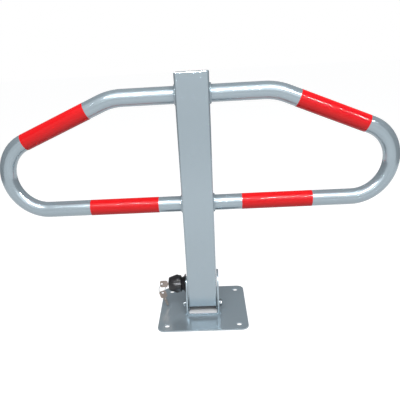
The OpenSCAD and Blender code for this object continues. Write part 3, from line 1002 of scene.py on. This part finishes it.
class BARRIER_OT_stage(bpy.types.Operator):
    """Sets the floor, the soft studio light and the camera"""

    bl_idname = "barrier.stage"
    bl_label = "Stage"

    def execute(self, context):
        scene = context.scene
        stage = settings().stage
        scene.view_settings.view_transform = "Standard"
        self.world(scene, stage)
        self.floor(stage)
        self.lamp("soft_box", (0.12, -1.30, 1.65), (0.0, 0.0, 0.09), 2.0, 2.3, stage.key_power)
        self.lamp("strip", (0.15, -1.20, 1.62), (0.0, 0.0, 0.40), 1.9, 0.2, stage.strip_power)
        line = self.card("line_card", (-0.6, -1.22, 1.60), (2.2, 0, 0), (0, 0.03, 0.04),
                         stage.line_glow)
        line.data.materials[0].cycles.emission_sampling = "NONE"
        top = self.lamp("top_light", (0.0, 0.35, 2.4), (0.0, 0.0, 0.3), 2.2, 1.6, stage.top_power)
        top.visible_glossy = False
        shade = stage.card_shade
        self.card("back_card", (-3.0, 1.9, 0.0), (6.0, 0, 0), (0, 0.0, 2.6), shade)
        self.card("top_card", (-3.0, -0.6, 2.6), (6.0, 0, 0), (0, 2.5, 0), shade)
        self.card("left_card", (-1.9, -1.6, 0.0), (0, 3.5, 0), (0, 0, 2.4), shade)
        self.card("right_card", (1.9, -1.6, 0.0), (0, 3.5, 0), (0, 0, 2.4), shade)
        self.camera(scene, stage)
        return {"FINISHED"}

    def seen(self, tree):
        """1 where the camera, a gloss or clear matter looks, 0 where only light is gathered."""
        path = tree.add("ShaderNodeLightPath")
        seen = path["Is Camera Ray"] + path["Is Glossy Ray"] + path["Is Transmission Ray"]
        return seen.above(0.5)

    def world(self, scene, stage):
        world = bpy.data.worlds.new("studio")
        world.use_nodes = True
        scene.world = world
        tree = Tree(world.node_tree)
        world.node_tree.nodes.clear()
        white = tree.add("ShaderNodeBackground", None, {"Color": (1, 1, 1, 1), "Strength": 1.0})
        fill = tree.add("ShaderNodeBackground", None,
                        {"Color": (0.94, 0.97, 1.0, 1), "Strength": stage.fill})
        mix = tree.add("ShaderNodeMixShader", None,
                       {"Fac": self.seen(tree), 1: fill["Background"], 2: white["Background"]})
        tree.add("ShaderNodeOutputWorld", None, {"Surface": mix["Shader"]})

    def floor(self, stage):
        half = 30.0
        corners = [(-half, -half, 0), (half, -half, 0), (half, half, 0), (-half, half, 0)]
        floor = mesh_object("floor", corners, [(0, 1, 2, 3)])
        pale = Finish("pale_floor")
        matt = pale.add("ShaderNodeBsdfDiffuse", None, {"Color": solid(settings().colours.ground)})
        glow = pale.add("ShaderNodeEmission", None,
                        {"Color": (1, 1, 1, 1), "Strength": stage.floor_glow})
        both = pale.add("ShaderNodeAddShader", None, {0: matt["BSDF"], 1: glow["Emission"]})
        mix = pale.add("ShaderNodeMixShader", None,
                       {"Fac": self.seen(pale), 1: matt["BSDF"], 2: both["Shader"]})
        pale.add("ShaderNodeOutputMaterial", None, {"Surface": mix["Shader"]})
        floor.data.materials.append(pale.material)

    def card(self, name, corner, across, upward, shade):
        """A grey card beside the set, which only reflections show."""
        corner, across, upward = Vector(corner), Vector(across), Vector(upward)
        corners = [corner, corner + across, corner + across + upward, corner + upward]
        card = mesh_object(name, corners, [(0, 1, 2, 3)])
        grey = Finish(name)
        cool = (shade, shade * 1.03, shade * 1.06, 1)
        glow = grey.add("ShaderNodeEmission", None, {"Color": cool})
        grey.add("ShaderNodeOutputMaterial", None, {"Surface": glow["Emission"]})
        card.data.materials.append(grey.material)
        card.visible_camera = False
        card.visible_diffuse = False
        card.visible_shadow = False
        return card

    def lamp(self, name, place, target, width, depth, power):
        data = bpy.data.lights.new(name, "AREA")
        data.shape = "RECTANGLE"
        data.size = width
        data.size_y = depth
        data.energy = power
        lamp = bpy.data.objects.new(name, data)
        lamp.location = place
        lamp.rotation_euler = (Vector(target) - Vector(place)).to_track_quat("-Z", "Y").to_euler()
        lamp.visible_camera = False
        bpy.context.scene.collection.objects.link(lamp)
        return lamp

    def camera(self, scene, stage):
        turn = Matrix.Rotation(stage.yaw, 3, "Z")
        right = turn @ Vector((1, 0, 0))
        level = turn @ Vector((0, 1, 0))
        forward = level * math.cos(stage.pitch) - UP * math.sin(stage.pitch)
        top = level * math.sin(stage.pitch) + UP * math.cos(stage.pitch)
        across = right * math.cos(stage.roll) + top * math.sin(stage.roll)
        upward = top * math.cos(stage.roll) - right * math.sin(stage.roll)
        data = bpy.data.cameras.new("camera")
        data.sensor_width = 36.0
        data.lens = stage.focal
        data.shift_x = stage.shift_x
        data.shift_y = stage.shift_y
        data.clip_start = 0.01
        camera = bpy.data.objects.new("camera", data)
        camera.matrix_world = Matrix.Translation(stage.camera_place) @ Matrix(
            (across, upward, -forward)).transposed().to_4x4()
        scene.collection.objects.link(camera)
        scene.camera = camera


# Add-on


class BarrierSettings(bpy.types.PropertyGroup):
    wing: PointerProperty(type=BarrierWingSizes)
    tape: PointerProperty(type=BarrierTapeSizes)
    weld: PointerProperty(type=BarrierWeldSizes)
    hinge: PointerProperty(type=BarrierHingeSizes)
    lock: PointerProperty(type=BarrierLockSizes)
    key: PointerProperty(type=BarrierKeySizes)
    colours: PointerProperty(type=BarrierColours)
    stage: PointerProperty(type=BarrierStageSizes)


OPERATORS = (BARRIER_OT_wings, BARRIER_OT_tapes, BARRIER_OT_post, BARRIER_OT_welds, BARRIER_OT_foot,
             BARRIER_OT_hinge, BARRIER_OT_lock, BARRIER_OT_keys, BARRIER_OT_stage)
GROUPS = ("wing", "tape", "weld", "hinge", "lock", "key", "colours", "stage")


class BARRIER_PT_sidebar(bpy.types.Panel):
    """Lists the pieces of the barrier and their sizes"""

    bl_label = "Parking barrier"
    bl_idname = "BARRIER_PT_sidebar"
    bl_space_type = "VIEW_3D"
    bl_region_type = "UI"
    bl_category = "Barrier"

    def draw(self, context):
        for group_name in GROUPS:
            group = getattr(context.scene.barrier, group_name)
            box = self.layout.box()
            box.label(text=group_name.capitalize())
            for name in type(group).__annotations__:
                box.prop(group, name)
        for operator in OPERATORS:
            self.layout.operator(operator.bl_idname)


CLASSES = (BarrierWingSizes, BarrierTapeSizes, BarrierWeldSizes, BarrierHingeSizes,
           BarrierLockSizes, BarrierKeySizes, BarrierColours, BarrierStageSizes, BarrierSettings,
           *OPERATORS, BARRIER_PT_sidebar)


def register():
    for each in CLASSES:
        bpy.utils.register_class(each)
    bpy.types.Scene.barrier = PointerProperty(type=BarrierSettings)


def unregister():
    del bpy.types.Scene.barrier
    for each in reversed(CLASSES):
        bpy.utils.unregister_class(each)


def main():
    register()
    for operator in OPERATORS:
        group, name = operator.bl_idname.split(".")
        getattr(getattr(bpy.ops, group), name)()


if __name__ == "__main__":
    main()
